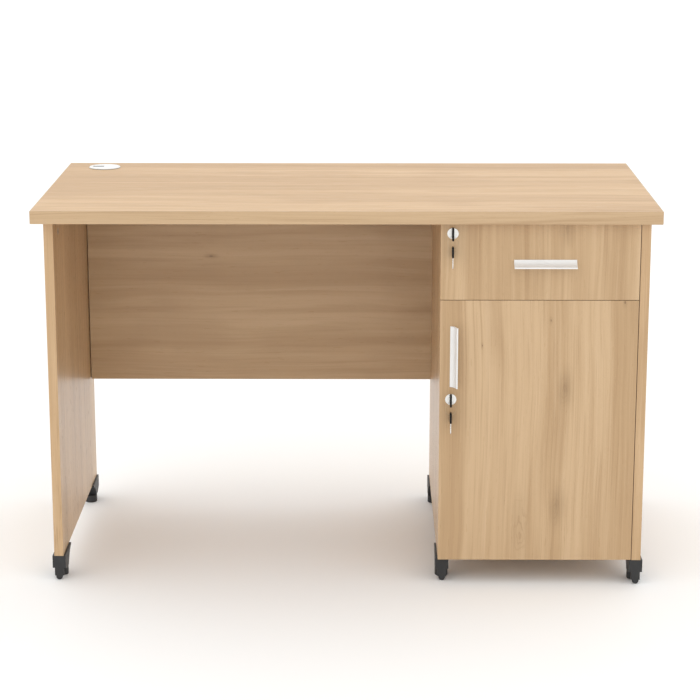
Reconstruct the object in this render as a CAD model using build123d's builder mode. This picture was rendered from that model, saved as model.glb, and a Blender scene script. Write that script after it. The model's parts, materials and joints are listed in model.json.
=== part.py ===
from build123d import *
import os

# Teacher desk with one pedestal. Millimetres; X runs to the user's right, Y to the back and Z up.
# The origin is on the floor under the middle of the worktop.

os.makedirs("parts", exist_ok=True)

# Overall sizes
desk_width = 1200
desk_depth = 600
desk_height = 750
top_thick = 25
edging = 2  # plastic edging round the worktop
board = 18  # every other board

# Upright boards
foot_height = 50
end_inset = 20  # overhang of the worktop past each end board
underside = desk_height - top_thick
front_face = -desk_depth / 2 + 20  # faces of the drawer, door and right end board
front_back = front_face + board  # back of the drawer front and the door
carcass_front = front_back + 0.5
rear_edge = desk_depth / 2 - 10
left_outer = -desk_width / 2 + end_inset
left_inner = left_outer + board
right_outer = desk_width / 2 - end_inset
right_inner = right_outer - board
divider_left = 180
divider_right = divider_left + board

# Modesty board
modesty_front = 234
modesty_bottom = 285
modesty_gap = 2  # shadow gap beside the left end board
modesty_rebate = 6  # thickness of the tongue that closes the gap at the back
cable_notch = (80, 38)  # width and height of the notch under the grommet

# Pedestal carcass
deck_front = -250  # fixed boards stop short of the swing of the door's hinge edge
back_front = 264
mid_bottom = 565.5
shelf_bottom = 300
shelf_front = -235
shelf_clearance = 1
pin_hole_r = 2.5
pin_hole_depth = 10
pin_reach = 8
pin_collar_r = 3.7
pin_collar_thick = 1
pin_rows = [204.5, 236.5, 268.5, 297.5, 329.5, 361.5, 393.5]
pin_columns = [-190, 210]

# Drawer and door
reveal = 1.3  # gap beside the right end board
front_left = divider_left
front_right = right_inner - reveal
drawer_low = 575.2
drawer_high = 722
door_low = 50.5
door_high = 574
drawer_board = 12
drawer_box_low = 592
drawer_box_high = 690
drawer_box_back = 190
drawer_floor = 5
drawer_floor_low = 600
groove_depth = 5
slide_thick = 12.7
slide_sheet = 1.2
ball_r = 2.2
ball_step = 45
balls_in_a_row = 5
outer_balls = (6, -10, 19.05)  # from the wall, first in the row, from the middle of the slide
inner_balls = (9, -240, 13.35)
slide_mid = 641
slide_front = -258
slide_back = 192

# Pulls
pull_length = 120
pull_height = 14.5
pull_reach = 18
drawer_pull_x = 380
drawer_pull_z = 646.5
door_pull_x = 207
door_pull_z = 463
pull_screw_pitch = 96
pull_screw_offset = 1.5
pull_screw_depth = 3  # into the pull
pull_screw_head = 2.4

# Cam locks
drawer_lock = (202.7, 704.7)
door_lock = (202.0, 378.0)
flange_r = 11.15
flange_thick = 3
flange_edge_r = 1.2
barrel_r = 8
plug_r = 6.5
plug_sink = 0.4  # the plug's face lies behind the flange's
running_gap = 0.05
barrel_back = -250
plug_back = -249
cam_front = -248
cam_thick = 2
cam_hub_r = 7
cam_tip_r = 6
stub_r = 4
stub_back = -245
drawer_cam_reach = 30
door_cam_reach = 17
barrel_notch_depth = 7  # notches in the divider that clear the barrels
barrel_notch_back = -240
drawer_notch_low = 692
door_notch = (-20, 14)  # from the door lock's axis
keeper_y = (-251, -243)  # mortises that the cams turn into
top_keeper_x = (194.5, 228)
top_keeper_depth = 13
door_keeper_z = (-15, 9)  # from the door lock's axis
door_keeper_depth = 15.5
strike_x = (192, 242)
strike_y = (-260, -241)
strike_thick = 1.5
strike_screw = (235, -250.5)

# Keys
bow_height = 25
bow_depth = 16.8
key_thick = 3.5
bow_corner_r = 4.5
neck = (8, 3.5)  # height and length
blade = (7, 2)  # width and thickness
blade_length = 22
ring_r = 10.5
ring_wire_r = 0.6
spare_bow = (17.6, 20.4)
hang_y = -291
hang_drop = 7.8  # from the lock's axis down to the wire at the top of the ring
slot_width = 4
slot_length = 17.8
spare_eye_r = 2.4
spare_eye_drop = 1  # from the wire at the foot of the ring to the middle of the eye
spare_bow_rise = 4.4
spare_tip_chamfer = 2.5

# Concealed hinges
hinge_inset = 19  # pin to the hinge edge of the door
hinge_depth = 6.5  # pin to the front face
hinge_x = front_right - hinge_inset
hinge_y = front_face + hinge_depth
hinge_heights = [140, 483]
hinge_pin_r = 1.5
hinge_pin_half = 10
cup_r = 17.5
cup_offset = -3.1  # from the pin to the middle of the cup
cup_floor = hinge_y - 3.8
cup_flange = (33, 1.2, 52)
pocket_x = (-18.4, 4.5)  # from the pin
pocket_floor = hinge_y - 3
pocket_side_gap = 1
arm_half = 6
arm_knuckle_r = 2.5
arm_reach = 17.5  # from the pin to the arm's inner edge
arm_bar = (hinge_y - 2.5, hinge_y + 1.5)
arm_thick = 3
arm_bridge = (hinge_y + 23, hinge_y + 27)
arm_foot_thick = 4
arm_foot_back = hinge_y + 66
plate_thick = 2
plate_y = (hinge_y + 32, hinge_y + 54)
plate_half = 26

# Feet
shoe_width = 26
shoe_length = 85
shoe_end_low = 25
shoe_seat = 17  # height of the flat over the glide
shoe_seat_span = (22, 45)
shoe_arc_middle = (59, 34)
shoe_tail_low = 46
toe_width = 17.9
toe_thick = 5
toe_middle = 24
toe_height = 30
toe_tip = 7.5
toe_tip_r = 6.7
toe_tip_height = 5
glide_r = 13
glide_height = 16.4
glide_inset = 38
glide_rim_r = 1.5
stud_r = 4
stud_top = 46
screw_r = 2
screw_head_r = 4
shoe_screw_insets = [13, 68]
shoe_screw_seat = 44
shoe_screw_head = 2.5
shoe_screw_length = 20  # into the board
cross = (5, 1)  # length and width of the slots of a cross recess
cross_depth = 1.5

# Cable grommet
grommet_x = -519
grommet_y = 236
grommet_hole_r = 30
grommet_flange_r = 33
grommet_inner_r = 27
grommet_recess = 0.8
grommet_sleeve = 18
grommet_rim = 2.4  # height of the flange above the worktop
grommet_ledge = 0.4  # height of the ledge that carries the cap
cap_r = 29
cap_low = 0.7
cap_high = 2.7
cap_fit = 0.3
cap_collar_r = 26.6
cap_collar_inner_r = 24.8
cap_collar_depth = 6
cap_slot = (24, 14)
cap_slot_offset = -13
cap_slot_r = 2

# Cam fittings that draw the boards up to the worktop
fitting_r = 7.5
fitting_depth = 12.5
fitting_z = 691
fitting_cross = (10, 2)
fitting_cross_depth = 2
bolt_r = 3.5
bolt_top = underside + 12
end_fitting_rows = [-190, 120]
modesty_fitting_columns = [-380, 0]

upright_mid = {
    "left": (left_outer + left_inner) / 2,
    "middle": (divider_left + divider_right) / 2,
    "right": (right_outer + right_inner) / 2,
}
upright_front = {"left": carcass_front, "middle": carcass_front, "right": front_face}


def facing(y):
    """Plane across the desk whose sketches use X and Z, and which extrudes forwards, towards -Y."""
    return Plane(origin=(0, y, 0), x_dir=(1, 0, 0), z_dir=(0, -1, 0))


def sideways(x):
    """Plane along the desk's depth whose sketches use Y and Z, and which extrudes towards +X."""
    return Plane(origin=(x, 0, 0), x_dir=(0, 1, 0), z_dir=(1, 0, 0))


def block(x, y, z, mode=Mode.ADD):
    """Put a rectangular block that spans the x, y and z ranges into the piece being built."""
    with Locations(((x[0] + x[1]) / 2, (y[0] + y[1]) / 2, (z[0] + z[1]) / 2)):
        Box(abs(x[1] - x[0]), abs(y[1] - y[0]), abs(z[1] - z[0]), mode=mode)


def upright_rod(x, y, z, radius, mode=Mode.ADD):
    """Put a rod that spans the z range into the piece being built."""
    with Locations((x, y, (z[0] + z[1]) / 2)):
        Cylinder(radius, z[1] - z[0], mode=mode)


def rod_along_x(x, y, z, radius, mode=Mode.ADD):
    """Put a rod that spans the x range into the piece being built."""
    with Locations(((x[0] + x[1]) / 2, y, z)):
        Cylinder(radius, abs(x[1] - x[0]), rotation=(0, 90, 0), mode=mode)


def rod_along_y(x, y, z, radius, mode=Mode.ADD):
    """Put a rod that spans the y range into the piece being built."""
    with Locations((x, (y[0] + y[1]) / 2, z)):
        Cylinder(radius, abs(y[1] - y[0]), rotation=(90, 0, 0), mode=mode)


def around(middle, size):
    """The range of the given size with its middle there."""
    return (middle - size / 2, middle + size / 2)


def shoe_screw_places(side):
    """Places of the shoe screws under one upright board."""
    places = []
    for inset in shoe_screw_insets:
        places.append((upright_mid[side], upright_front[side] + inset))
        places.append((upright_mid[side], rear_edge - inset))
    return places


def bore_shoe_screws(side):
    """Pilot holes for the shoe screws in the lower edge of the board being built."""
    for x, y in shoe_screw_places(side):
        upright_rod(x, y, (foot_height, foot_height + shoe_screw_length), screw_r, Mode.SUBTRACT)


def bore_end_fittings(face, inward, side):
    """Cam and bolt bores for the worktop joint in the upright board being built."""
    for y in end_fitting_rows:
        rod_along_x((face, face - inward * fitting_depth), y, fitting_z, fitting_r, Mode.SUBTRACT)
        upright_rod(upright_mid[side], y, (fitting_z, underside), bolt_r, Mode.SUBTRACT)


def bore_shelf_holes(face, inward):
    """Two columns of shelf pin holes in the upright board being built."""
    for y in pin_columns:
        for z in pin_rows:
            rod_along_x((face, face - inward * pin_hole_depth), y, z, pin_hole_r, Mode.SUBTRACT)


# ---------------------------------------------------------------- worktop

with BuildPart() as worktop:
    block(
        (edging - desk_width / 2, desk_width / 2 - edging),
        (edging - desk_depth / 2, desk_depth / 2 - edging),
        (underside, desk_height),
    )
    upright_rod(grommet_x, grommet_y, (underside, desk_height), grommet_hole_r, Mode.SUBTRACT)
    upright_rod(
        grommet_x,
        grommet_y,
        (desk_height - grommet_recess, desk_height),
        grommet_flange_r + 0.2,
        Mode.SUBTRACT,
    )
    # Mortise that the drawer's lock cam turns up into
    block(top_keeper_x, keeper_y, (underside, underside + top_keeper_depth), Mode.SUBTRACT)
    for side in upright_mid:
        for y in end_fitting_rows:
            upright_rod(upright_mid[side], y, (underside, bolt_top), bolt_r, Mode.SUBTRACT)
    for x in modesty_fitting_columns:
        upright_rod(x, modesty_front + board / 2, (underside, bolt_top), bolt_r, Mode.SUBTRACT)

with BuildPart() as worktop_edge_banding:
    with BuildSketch(Plane.XY.offset(underside)):
        RectangleRounded(desk_width, desk_depth, 3)
        Rectangle(desk_width - 2 * edging, desk_depth - 2 * edging, mode=Mode.SUBTRACT)
    extrude(amount=top_thick)
    top_edges = worktop_edge_banding.faces().sort_by(Axis.Z)[-1].outer_wire().edges()
    low_edges = worktop_edge_banding.faces().sort_by(Axis.Z)[0].outer_wire().edges()
    fillet(top_edges + low_edges, 1.2)

# ---------------------------------------------------------------- upright boards

with BuildPart() as left_end_panel:
    block((left_outer, left_inner), (carcass_front, rear_edge), (foot_height, underside))
    bore_end_fittings(left_inner, 1, "left")
    bore_shoe_screws("left")

with BuildPart() as right_end_panel:
    block((right_inner, right_outer), (front_face, rear_edge), (foot_height, underside))
    bore_end_fittings(right_inner, -1, "right")
    bore_shoe_screws("right")
    bore_shelf_holes(right_inner, -1)

with BuildPart() as pedestal_divider:
    block((divider_left, divider_right), (carcass_front, rear_edge), (foot_height, underside))
    bore_end_fittings(divider_right, 1, "middle")
    bore_shoe_screws("middle")
    bore_shelf_holes(divider_right, 1)
    # Notches that clear the barrels of the two locks
    notch_x = (divider_right - barrel_notch_depth, divider_right)
    notch_y = (carcass_front, barrel_notch_back)
    door_notch_z = (door_lock[1] + door_notch[0], door_lock[1] + door_notch[1])
    block(notch_x, notch_y, (drawer_notch_low, underside), Mode.SUBTRACT)
    block(notch_x, notch_y, door_notch_z, Mode.SUBTRACT)
    # Mortise that keeps the door's lock cam when it is turned
    door_keeper_x = (divider_right - door_keeper_depth, divider_right)
    door_keeper = (door_lock[1] + door_keeper_z[0], door_lock[1] + door_keeper_z[1])
    block(door_keeper_x, keeper_y, door_keeper, Mode.SUBTRACT)

with BuildPart() as modesty_panel:
    block(
        (left_inner + modesty_gap, divider_left),
        (modesty_front, modesty_front + board),
        (modesty_bottom, underside),
    )
    block(
        (left_inner, left_inner + modesty_gap),
        (modesty_front + board - modesty_rebate, modesty_front + board),
        (modesty_bottom, underside),
    )
    block(
        (left_inner, left_inner + cable_notch[0]),
        (modesty_front, modesty_front + board),
        (underside - cable_notch[1], underside),
        Mode.SUBTRACT,
    )
    for x in modesty_fitting_columns:
        rear = modesty_front + board
        rod_along_y(x, (rear - fitting_depth, rear), fitting_z, fitting_r, Mode.SUBTRACT)
        upright_rod(x, modesty_front + board / 2, (fitting_z, underside), bolt_r, Mode.SUBTRACT)

# ---------------------------------------------------------------- pedestal carcass

carcass_x = (divider_right, right_inner)

with BuildPart() as pedestal_bottom:
    block(carcass_x, (deck_front, back_front), (foot_height, foot_height + board))

with BuildPart() as pedestal_mid_panel:
    block(carcass_x, (deck_front, back_front), (mid_bottom, mid_bottom + board))

with BuildPart() as pedestal_back:
    block(carcass_x, (back_front, back_front + board), (foot_height, underside))

with BuildPart() as cupboard_shelf:
    block(
        (divider_right + shelf_clearance, right_inner - shelf_clearance),
        (shelf_front, back_front - 2),
        (shelf_bottom, shelf_bottom + board),
    )

with BuildPart() as shelf_pins:
    for y in pin_columns:
        for face, inward in ((divider_right, 1), (right_inner, -1)):
            z = shelf_bottom - pin_hole_r
            collar = (face, face + inward * pin_collar_thick)
            rod_along_x((face - inward * pin_hole_depth, face + inward * pin_reach), y, z, pin_hole_r)
            rod_along_x(collar, y, z, pin_collar_r)
            # The collar is flat where it meets the shelf
            above = (shelf_bottom, shelf_bottom + pin_hole_r)
            block(collar, around(y, 3 * pin_hole_r), above, Mode.SUBTRACT)

# ---------------------------------------------------------------- feet


def foot_shoe(x_mid, y_end, inward):
    """Wedge-shaped moulded shoe under one end of an upright board, with a narrow rounded toe."""
    corners = [
        (shoe_length, shoe_tail_low),
        (shoe_length, foot_height),
        (0, foot_height),
        (0, shoe_end_low),
        (shoe_seat_span[0], shoe_seat),
        (shoe_seat_span[1], shoe_seat),
    ]
    outline = [(y_end + inward * depth, height) for depth, height in corners]
    arc_middle = (y_end + inward * shoe_arc_middle[0], shoe_arc_middle[1])
    glide_y = y_end + inward * glide_inset
    with BuildPart() as shoe:
        with BuildSketch(sideways(x_mid - shoe_width / 2)):
            with BuildLine():
                Polyline(*outline)
                ThreePointArc(outline[-1], arc_middle, outline[0])
            make_face()
        extrude(amount=shoe_width)
        with BuildSketch(facing(y_end)):
            with Locations((x_mid, toe_middle)):
                Rectangle(toe_width, toe_height)
            with Locations((x_mid, toe_tip)):
                Circle(toe_tip_r)
                Rectangle(2 * toe_tip_r, toe_tip_height, align=(Align.CENTER, Align.MIN))
        extrude(amount=-inward * toe_thick)
        upright_rod(x_mid, glide_y, (0, stud_top + 1), stud_r + running_gap, Mode.SUBTRACT)
        for inset in shoe_screw_insets:
            y = y_end + inward * inset
            upright_rod(x_mid, y, (0, shoe_screw_seat), screw_head_r + 0.2, Mode.SUBTRACT)
            upright_rod(x_mid, y, (shoe_screw_seat, foot_height), screw_r, Mode.SUBTRACT)
    return shoe


def glide(x_mid, y_mid):
    """Round black glide on a threaded stud."""
    with BuildPart() as foot:
        upright_rod(x_mid, y_mid, (0, glide_height), glide_r)
        fillet(foot.edges().filter_by(GeomType.CIRCLE).sort_by(Axis.Z)[0], glide_rim_r)
        chamfer(foot.edges().filter_by(GeomType.CIRCLE).sort_by(Axis.Z)[-1], 1)
        upright_rod(x_mid, y_mid, (glide_height - 1, stud_top), stud_r)
    return foot


shoes = {}
glides = {}
for side in upright_mid:
    for end, y_end, inward in (("front", upright_front[side], 1), ("rear", rear_edge, -1)):
        shoes[f"foot_shoe_{side}_{end}"] = foot_shoe(upright_mid[side], y_end, inward)
        glides[f"glide_{side}_{end}"] = glide(upright_mid[side], y_end + inward * glide_inset)

with BuildPart() as shoe_screws:
    for side in upright_mid:
        for x, y in shoe_screw_places(side):
            head_low = shoe_screw_seat - shoe_screw_head
            upright_rod(x, y, (shoe_screw_seat, foot_height + shoe_screw_length), screw_r)
            upright_rod(x, y, (head_low, shoe_screw_seat), screw_head_r)
            recess = (head_low, head_low + cross_depth)
            block(around(x, cross[0]), around(y, cross[1]), recess, Mode.SUBTRACT)
            block(around(x, cross[1]), around(y, cross[0]), recess, Mode.SUBTRACT)

# ---------------------------------------------------------------- cable grommet

grommet_plane = Plane(origin=(grommet_x, grommet_y, desk_height), x_dir=(1, 0, 0), z_dir=(0, -1, 0))
grommet_axis = Axis((grommet_x, grommet_y, 0), (0, 0, 1))

with BuildPart() as grommet_ring:
    sleeve_r = grommet_hole_r - cap_fit
    rim_r = cap_r + cap_fit
    with BuildSketch(grommet_plane):
        with BuildLine():
            Polyline(
                (grommet_inner_r, -grommet_sleeve),
                (sleeve_r, -grommet_sleeve),
                (sleeve_r, -grommet_recess),
                (grommet_flange_r, -grommet_recess),
                (grommet_flange_r, 1),
                (grommet_flange_r - 1.4, grommet_rim),
                (rim_r, grommet_rim),
                (rim_r, grommet_ledge),
                (grommet_inner_r, grommet_ledge),
                close=True,
            )
        make_face()
    revolve(axis=grommet_axis)

with BuildPart() as grommet_cap:
    cap_z = (desk_height + cap_low, desk_height + cap_high)
    collar_low = desk_height - cap_collar_depth
    upright_rod(grommet_x, grommet_y, cap_z, cap_r)
    chamfer(grommet_cap.edges().filter_by(GeomType.CIRCLE).sort_by(Axis.Z)[-1], 0.5)
    upright_rod(grommet_x, grommet_y, (collar_low, cap_z[0] + 0.3), cap_collar_r)
    upright_rod(
        grommet_x, grommet_y, (collar_low, desk_height + 0.2), cap_collar_inner_r, Mode.SUBTRACT
    )
    with BuildSketch(Plane.XY.offset(collar_low - 1)):
        with Locations((grommet_x + cap_slot_offset, grommet_y)):
            RectangleRounded(cap_slot[0], cap_slot[1], cap_slot_r)
    extrude(amount=2 * cap_collar_depth, mode=Mode.SUBTRACT)

# ---------------------------------------------------------------- drawer slides


def slide_member(wall, inward, reach, half_height, web_far):
    """Channel of bent sheet: an upright web and two flanges, measured away from the pedestal wall."""
    near, far = (wall + inward * reach[0], wall + inward * reach[1])
    web_start = reach[1] - slide_sheet if web_far else reach[0]
    web = (wall + inward * web_start, wall + inward * (web_start + slide_sheet))
    length = (slide_front, slide_back)
    with BuildPart() as member:
        block(web, length, (slide_mid - half_height, slide_mid + half_height))
        block((near, far), length, (slide_mid + half_height - slide_sheet, slide_mid + half_height))
        block((near, far), length, (slide_mid - half_height, slide_mid - half_height + slide_sheet))
    return member


slides = {}
for side, wall, inward in (("left", divider_right, 1), ("right", right_inner, -1)):
    slides[f"slide_outer_{side}"] = slide_member(wall, inward, (0, 9.5), 22.5, False)
    slides[f"slide_middle_{side}"] = slide_member(wall, inward, (3, 11.8), 16.8, False)
    slides[f"slide_inner_{side}"] = slide_member(wall, inward, (6, slide_thick), 11.1, True)

with BuildPart() as slide_balls:
    for wall, inward in ((divider_right, 1), (right_inner, -1)):
        for from_wall, first_y, from_middle in (outer_balls, inner_balls):
            for z in (slide_mid + from_middle, slide_mid - from_middle):
                for index in range(balls_in_a_row):
                    with Locations((wall + inward * from_wall, first_y + index * ball_step, z)):
                        Sphere(ball_r)

# ---------------------------------------------------------------- drawer

drawer_left = divider_right + slide_thick
drawer_right = right_inner - slide_thick
groove = (drawer_floor_low, drawer_floor_low + drawer_floor)
drawer_pull_screws = [
    (drawer_pull_x - pull_screw_pitch / 2, drawer_pull_z + pull_screw_offset),
    (drawer_pull_x + pull_screw_pitch / 2, drawer_pull_z + pull_screw_offset),
]
door_pull_screws = [
    (door_pull_x - pull_screw_offset, door_pull_z - pull_screw_pitch / 2),
    (door_pull_x - pull_screw_offset, door_pull_z + pull_screw_pitch / 2),
]

with BuildPart() as drawer_front:
    block((front_left, front_right), (front_face, front_back), (drawer_low, drawer_high))
    rod_along_y(
        drawer_lock[0], (front_face, front_back), drawer_lock[1], barrel_r, Mode.SUBTRACT
    )
    for x, z in drawer_pull_screws:
        rod_along_y(x, (front_face, front_back), z, screw_r, Mode.SUBTRACT)

with BuildPart() as drawer_side_left:
    inner = drawer_left + drawer_board
    block((drawer_left, inner), (front_back, drawer_box_back), (drawer_box_low, drawer_box_high))
    block((inner - groove_depth, inner), (front_back, drawer_box_back), groove, Mode.SUBTRACT)

with BuildPart() as drawer_side_right:
    inner = drawer_right - drawer_board
    block((inner, drawer_right), (front_back, drawer_box_back), (drawer_box_low, drawer_box_high))
    block((inner, inner + groove_depth), (front_back, drawer_box_back), groove, Mode.SUBTRACT)

with BuildPart() as drawer_back:
    inside = (drawer_left + drawer_board, drawer_right - drawer_board)
    thick = (drawer_box_back - drawer_board, drawer_box_back)
    block(inside, thick, (drawer_box_low, drawer_box_high))
    block(inside, (thick[0], thick[0] + groove_depth), groove, Mode.SUBTRACT)

with BuildPart() as drawer_bottom:
    block(
        (inside[0] - groove_depth, inside[1] + groove_depth),
        (front_back, drawer_box_back - drawer_board),
        groove,
    )
    block(inside, (drawer_box_back - drawer_board, thick[0] + groove_depth), groove)

# ---------------------------------------------------------------- pulls


def pull(plane, screws):
    """Extruded finger pull; the plane's x runs out from the face and its y to the fixed edge."""
    half = pull_height / 2
    with BuildPart() as bar:
        with BuildSketch(plane):
            with BuildLine():
                Line((0, half), (1.5, half))
                ThreePointArc((1.5, half), (8.0, -1.07), (pull_reach, -4.5))
                Polyline((pull_reach, -4.5), (pull_reach, -half), (16.6, -half), (16.0, -6.13))
                ThreePointArc((16.0, -6.13), (10.5, -4.56), (5.6, -1.47))
                Polyline((5.6, -1.47), (0, -1.47), (0, half))
            make_face()
        extrude(amount=pull_length)
        for x, z in screws:
            rod_along_y(x, (front_face - pull_screw_depth, front_face), z, screw_r, Mode.SUBTRACT)
    return bar


def pull_screws(screws):
    """Two machine screws through a front into its pull, with their heads behind the front."""
    with BuildPart() as pair:
        head_end = front_back + pull_screw_head
        recess = (head_end - cross_depth, head_end)
        for x, z in screws:
            rod_along_y(x, (front_face - pull_screw_depth, front_back), z, screw_r)
            rod_along_y(x, (front_back, head_end), z, screw_head_r)
            block(around(x, cross[0]), recess, around(z, cross[1]), Mode.SUBTRACT)
            block(around(x, cross[1]), recess, around(z, cross[0]), Mode.SUBTRACT)
    return pair


drawer_pull_plane = Plane(
    origin=(drawer_pull_x + pull_length / 2, front_face, drawer_pull_z),
    x_dir=(0, -1, 0),
    z_dir=(-1, 0, 0),
)
door_pull_plane = Plane(
    origin=(door_pull_x, front_face, door_pull_z + pull_length / 2),
    x_dir=(0, -1, 0),
    z_dir=(0, 0, -1),
)
drawer_handle = pull(drawer_pull_plane, drawer_pull_screws)
door_handle = pull(door_pull_plane, door_pull_screws)
drawer_handle_screws = pull_screws(drawer_pull_screws)
door_handle_screws = pull_screws(door_pull_screws)

# ---------------------------------------------------------------- cam locks


def lock_body(x, z):
    """Round flange and threaded barrel of a cam lock."""
    flange_front = front_face - flange_thick
    with BuildPart() as body:
        rod_along_y(x, (flange_front, front_face), z, flange_r)
        fillet(body.edges().filter_by(GeomType.CIRCLE).sort_by(Axis.Y)[0], flange_edge_r)
        rod_along_y(x, (front_face, barrel_back), z, barrel_r)
        rod_along_y(x, (flange_front, barrel_back), z, plug_r + running_gap, Mode.SUBTRACT)
    return body


def lock_plug(x, z):
    """Turning plug of a cam lock, with a keyway at the front and a stub for the cam behind."""
    face = front_face - flange_thick + plug_sink
    neck_back = face + neck[1]
    with BuildPart() as plug:
        rod_along_y(x, (face, plug_back), z, plug_r)
        rod_along_y(x, (plug_back, stub_back), z, stub_r)
        block(around(x, key_thick), (face, neck_back), around(z, neck[0]), Mode.SUBTRACT)
        keyway = (face, neck_back + blade_length)
        block(around(x, blade[1]), keyway, around(z, blade[0]), Mode.SUBTRACT)
    return plug


def lock_cam(x, z, reach, toward):
    """Flat steel cam; toward is the way it points in X and Z while unlocked."""
    tip_distance = reach - cam_tip_r
    tip = (x + toward[0] * tip_distance, z + toward[1] * tip_distance)
    with BuildPart() as cam:
        with BuildSketch(facing(cam_front)):
            with Locations((x, z)):
                Circle(cam_hub_r)
            with Locations(tip):
                Circle(cam_tip_r)
            make_hull()
            with Locations((x, z)):
                Circle(stub_r, mode=Mode.SUBTRACT)
        extrude(amount=-cam_thick)
    return cam


def key(x, z):
    """Inserted key: a flat moulded bow with a slot, a neck and a steel blade."""
    face = front_face - flange_thick
    neck_back = face + plug_sink + neck[1]
    with BuildPart() as inserted:
        with BuildSketch(sideways(x - key_thick / 2)):
            with Locations((face - bow_depth / 2, z)):
                RectangleRounded(bow_depth, bow_height, bow_corner_r)
            with Locations((hang_y, z)):
                SlotOverall(slot_length, slot_width, rotation=90, mode=Mode.SUBTRACT)
        extrude(amount=key_thick)
        block(around(x, key_thick), (face, neck_back), around(z, neck[0]))
        inside = (neck_back - 0.5, neck_back + blade_length - 0.5)
        block(around(x, blade[1]), inside, around(z, blade[0]))
    return inserted


def key_ring(x, z):
    """Wire ring that hangs in the slot of the inserted key."""
    with BuildPart() as ring:
        with BuildSketch(Plane.YZ.offset(x)):
            with Locations((hang_y, z - hang_drop)):
                Circle(ring_wire_r)
        revolve(axis=Axis((x, 0, z - hang_drop - ring_r), (0, 1, 0)))
    return ring


def spare_key(x, z):
    """Second key, hanging edge-on from the ring with its blade down."""
    wire_z = z - hang_drop - 2 * ring_r
    bow_top = wire_z + spare_bow_rise
    bow_low = bow_top - spare_bow[1]
    with BuildPart() as spare:
        with BuildSketch(sideways(x - key_thick / 2)):
            with Locations((hang_y, bow_top - spare_bow[1] / 2)):
                RectangleRounded(spare_bow[0], spare_bow[1], bow_corner_r)
            with Locations((hang_y, wire_z - spare_eye_drop)):
                Circle(spare_eye_r, mode=Mode.SUBTRACT)
        extrude(amount=key_thick)
        block(around(x, blade[1]), around(hang_y, blade[0]), (bow_low - blade_length, bow_low + 3))
        tip_edges = spare.faces().sort_by(Axis.Z)[0].edges().filter_by(Axis.X)
        chamfer(tip_edges, spare_tip_chamfer)
    return spare


locks = {}
for name, place, reach, toward in (
    ("drawer", drawer_lock, drawer_cam_reach, (1, 0)),
    ("door", door_lock, door_cam_reach, (0, -1)),
):
    locks[f"{name}_lock_body"] = lock_body(*place)
    locks[f"{name}_lock_plug"] = lock_plug(*place)
    locks[f"{name}_lock_cam"] = lock_cam(*place, reach, toward)
    locks[f"{name}_key"] = key(*place)
    locks[f"{name}_key_ring"] = key_ring(*place)
    locks[f"{name}_spare_key"] = spare_key(*place)

with BuildPart() as lock_strike:
    strike_z = (underside - strike_thick, underside)
    block(strike_x, strike_y, strike_z)
    block(top_keeper_x, keeper_y, strike_z, Mode.SUBTRACT)
    upright_rod(*strike_screw, strike_z, screw_r, Mode.SUBTRACT)

# ---------------------------------------------------------------- door and its hinges

with BuildPart() as door:
    block((front_left, front_right), (front_face, front_back), (door_low, door_high))
    rod_along_y(door_lock[0], (front_face, front_back), door_lock[1], barrel_r, Mode.SUBTRACT)
    for x, z in door_pull_screws:
        rod_along_y(x, (front_face, front_back), z, screw_r, Mode.SUBTRACT)
    for z in hinge_heights:
        rod_along_y(hinge_x + cup_offset, (cup_floor, front_back), z, cup_r, Mode.SUBTRACT)

with BuildPart() as hinge_cups:
    cup_x = hinge_x + cup_offset
    flange_y = (front_back, front_back + cup_flange[1])
    for z in hinge_heights:
        rod_along_y(cup_x, (cup_floor, front_back), z, cup_r)
        block(around(cup_x, cup_flange[0]), flange_y, around(z, cup_flange[2]))
        # Pocket that the arm folds into
        block(
            (hinge_x + pocket_x[0], hinge_x + pocket_x[1]),
            (pocket_floor, flange_y[1]),
            around(z, 2 * (arm_half + pocket_side_gap)),
            Mode.SUBTRACT,
        )
        upright_rod(hinge_x, hinge_y, around(z, 2 * hinge_pin_half), hinge_pin_r, Mode.SUBTRACT)

with BuildPart() as hinge_pins:
    for z in hinge_heights:
        upright_rod(hinge_x, hinge_y, around(z, 2 * hinge_pin_half), hinge_pin_r)

with BuildPart() as hinge_arms:
    for z in hinge_heights:
        width = around(z, 2 * arm_half)
        inner_x = hinge_x - arm_reach
        upright_rod(hinge_x, hinge_y, width, arm_knuckle_r)
        block((inner_x, hinge_x), arm_bar, width)
        block((inner_x, inner_x + arm_thick), (arm_bar[0], arm_bridge[1]), width)
        block((inner_x, right_inner), arm_bridge, width)
        block((right_inner - arm_foot_thick, right_inner), (arm_bridge[0], arm_foot_back), width)
        block((right_inner - plate_thick, right_inner), plate_y, around(z, 2 * plate_half))
        upright_rod(hinge_x, hinge_y, width, hinge_pin_r + running_gap, Mode.SUBTRACT)

# ---------------------------------------------------------------- cam fittings

with BuildPart() as cam_fittings:
    across, along = fitting_cross
    dowel = (fitting_z + fitting_r + 0.2, bolt_top)
    for side, face, inward in (
        ("left", left_inner, 1),
        ("middle", divider_right, 1),
        ("right", right_inner, -1),
    ):
        recess = (face, face - inward * fitting_cross_depth)
        for y in end_fitting_rows:
            rod_along_x((face, face - inward * fitting_depth), y, fitting_z, fitting_r)
            block(recess, around(y, across), around(fitting_z, along), Mode.SUBTRACT)
            block(recess, around(y, along), around(fitting_z, across), Mode.SUBTRACT)
            upright_rod(upright_mid[side], y, dowel, bolt_r)
    rear = modesty_front + board
    recess = (rear - fitting_cross_depth, rear)
    for x in modesty_fitting_columns:
        rod_along_y(x, (rear - fitting_depth, rear), fitting_z, fitting_r)
        block(around(x, across), recess, around(fitting_z, along), Mode.SUBTRACT)
        block(around(x, along), recess, around(fitting_z, across), Mode.SUBTRACT)
        upright_rod(x, modesty_front + board / 2, dowel, bolt_r)

# ---------------------------------------------------------------- write each piece

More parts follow.
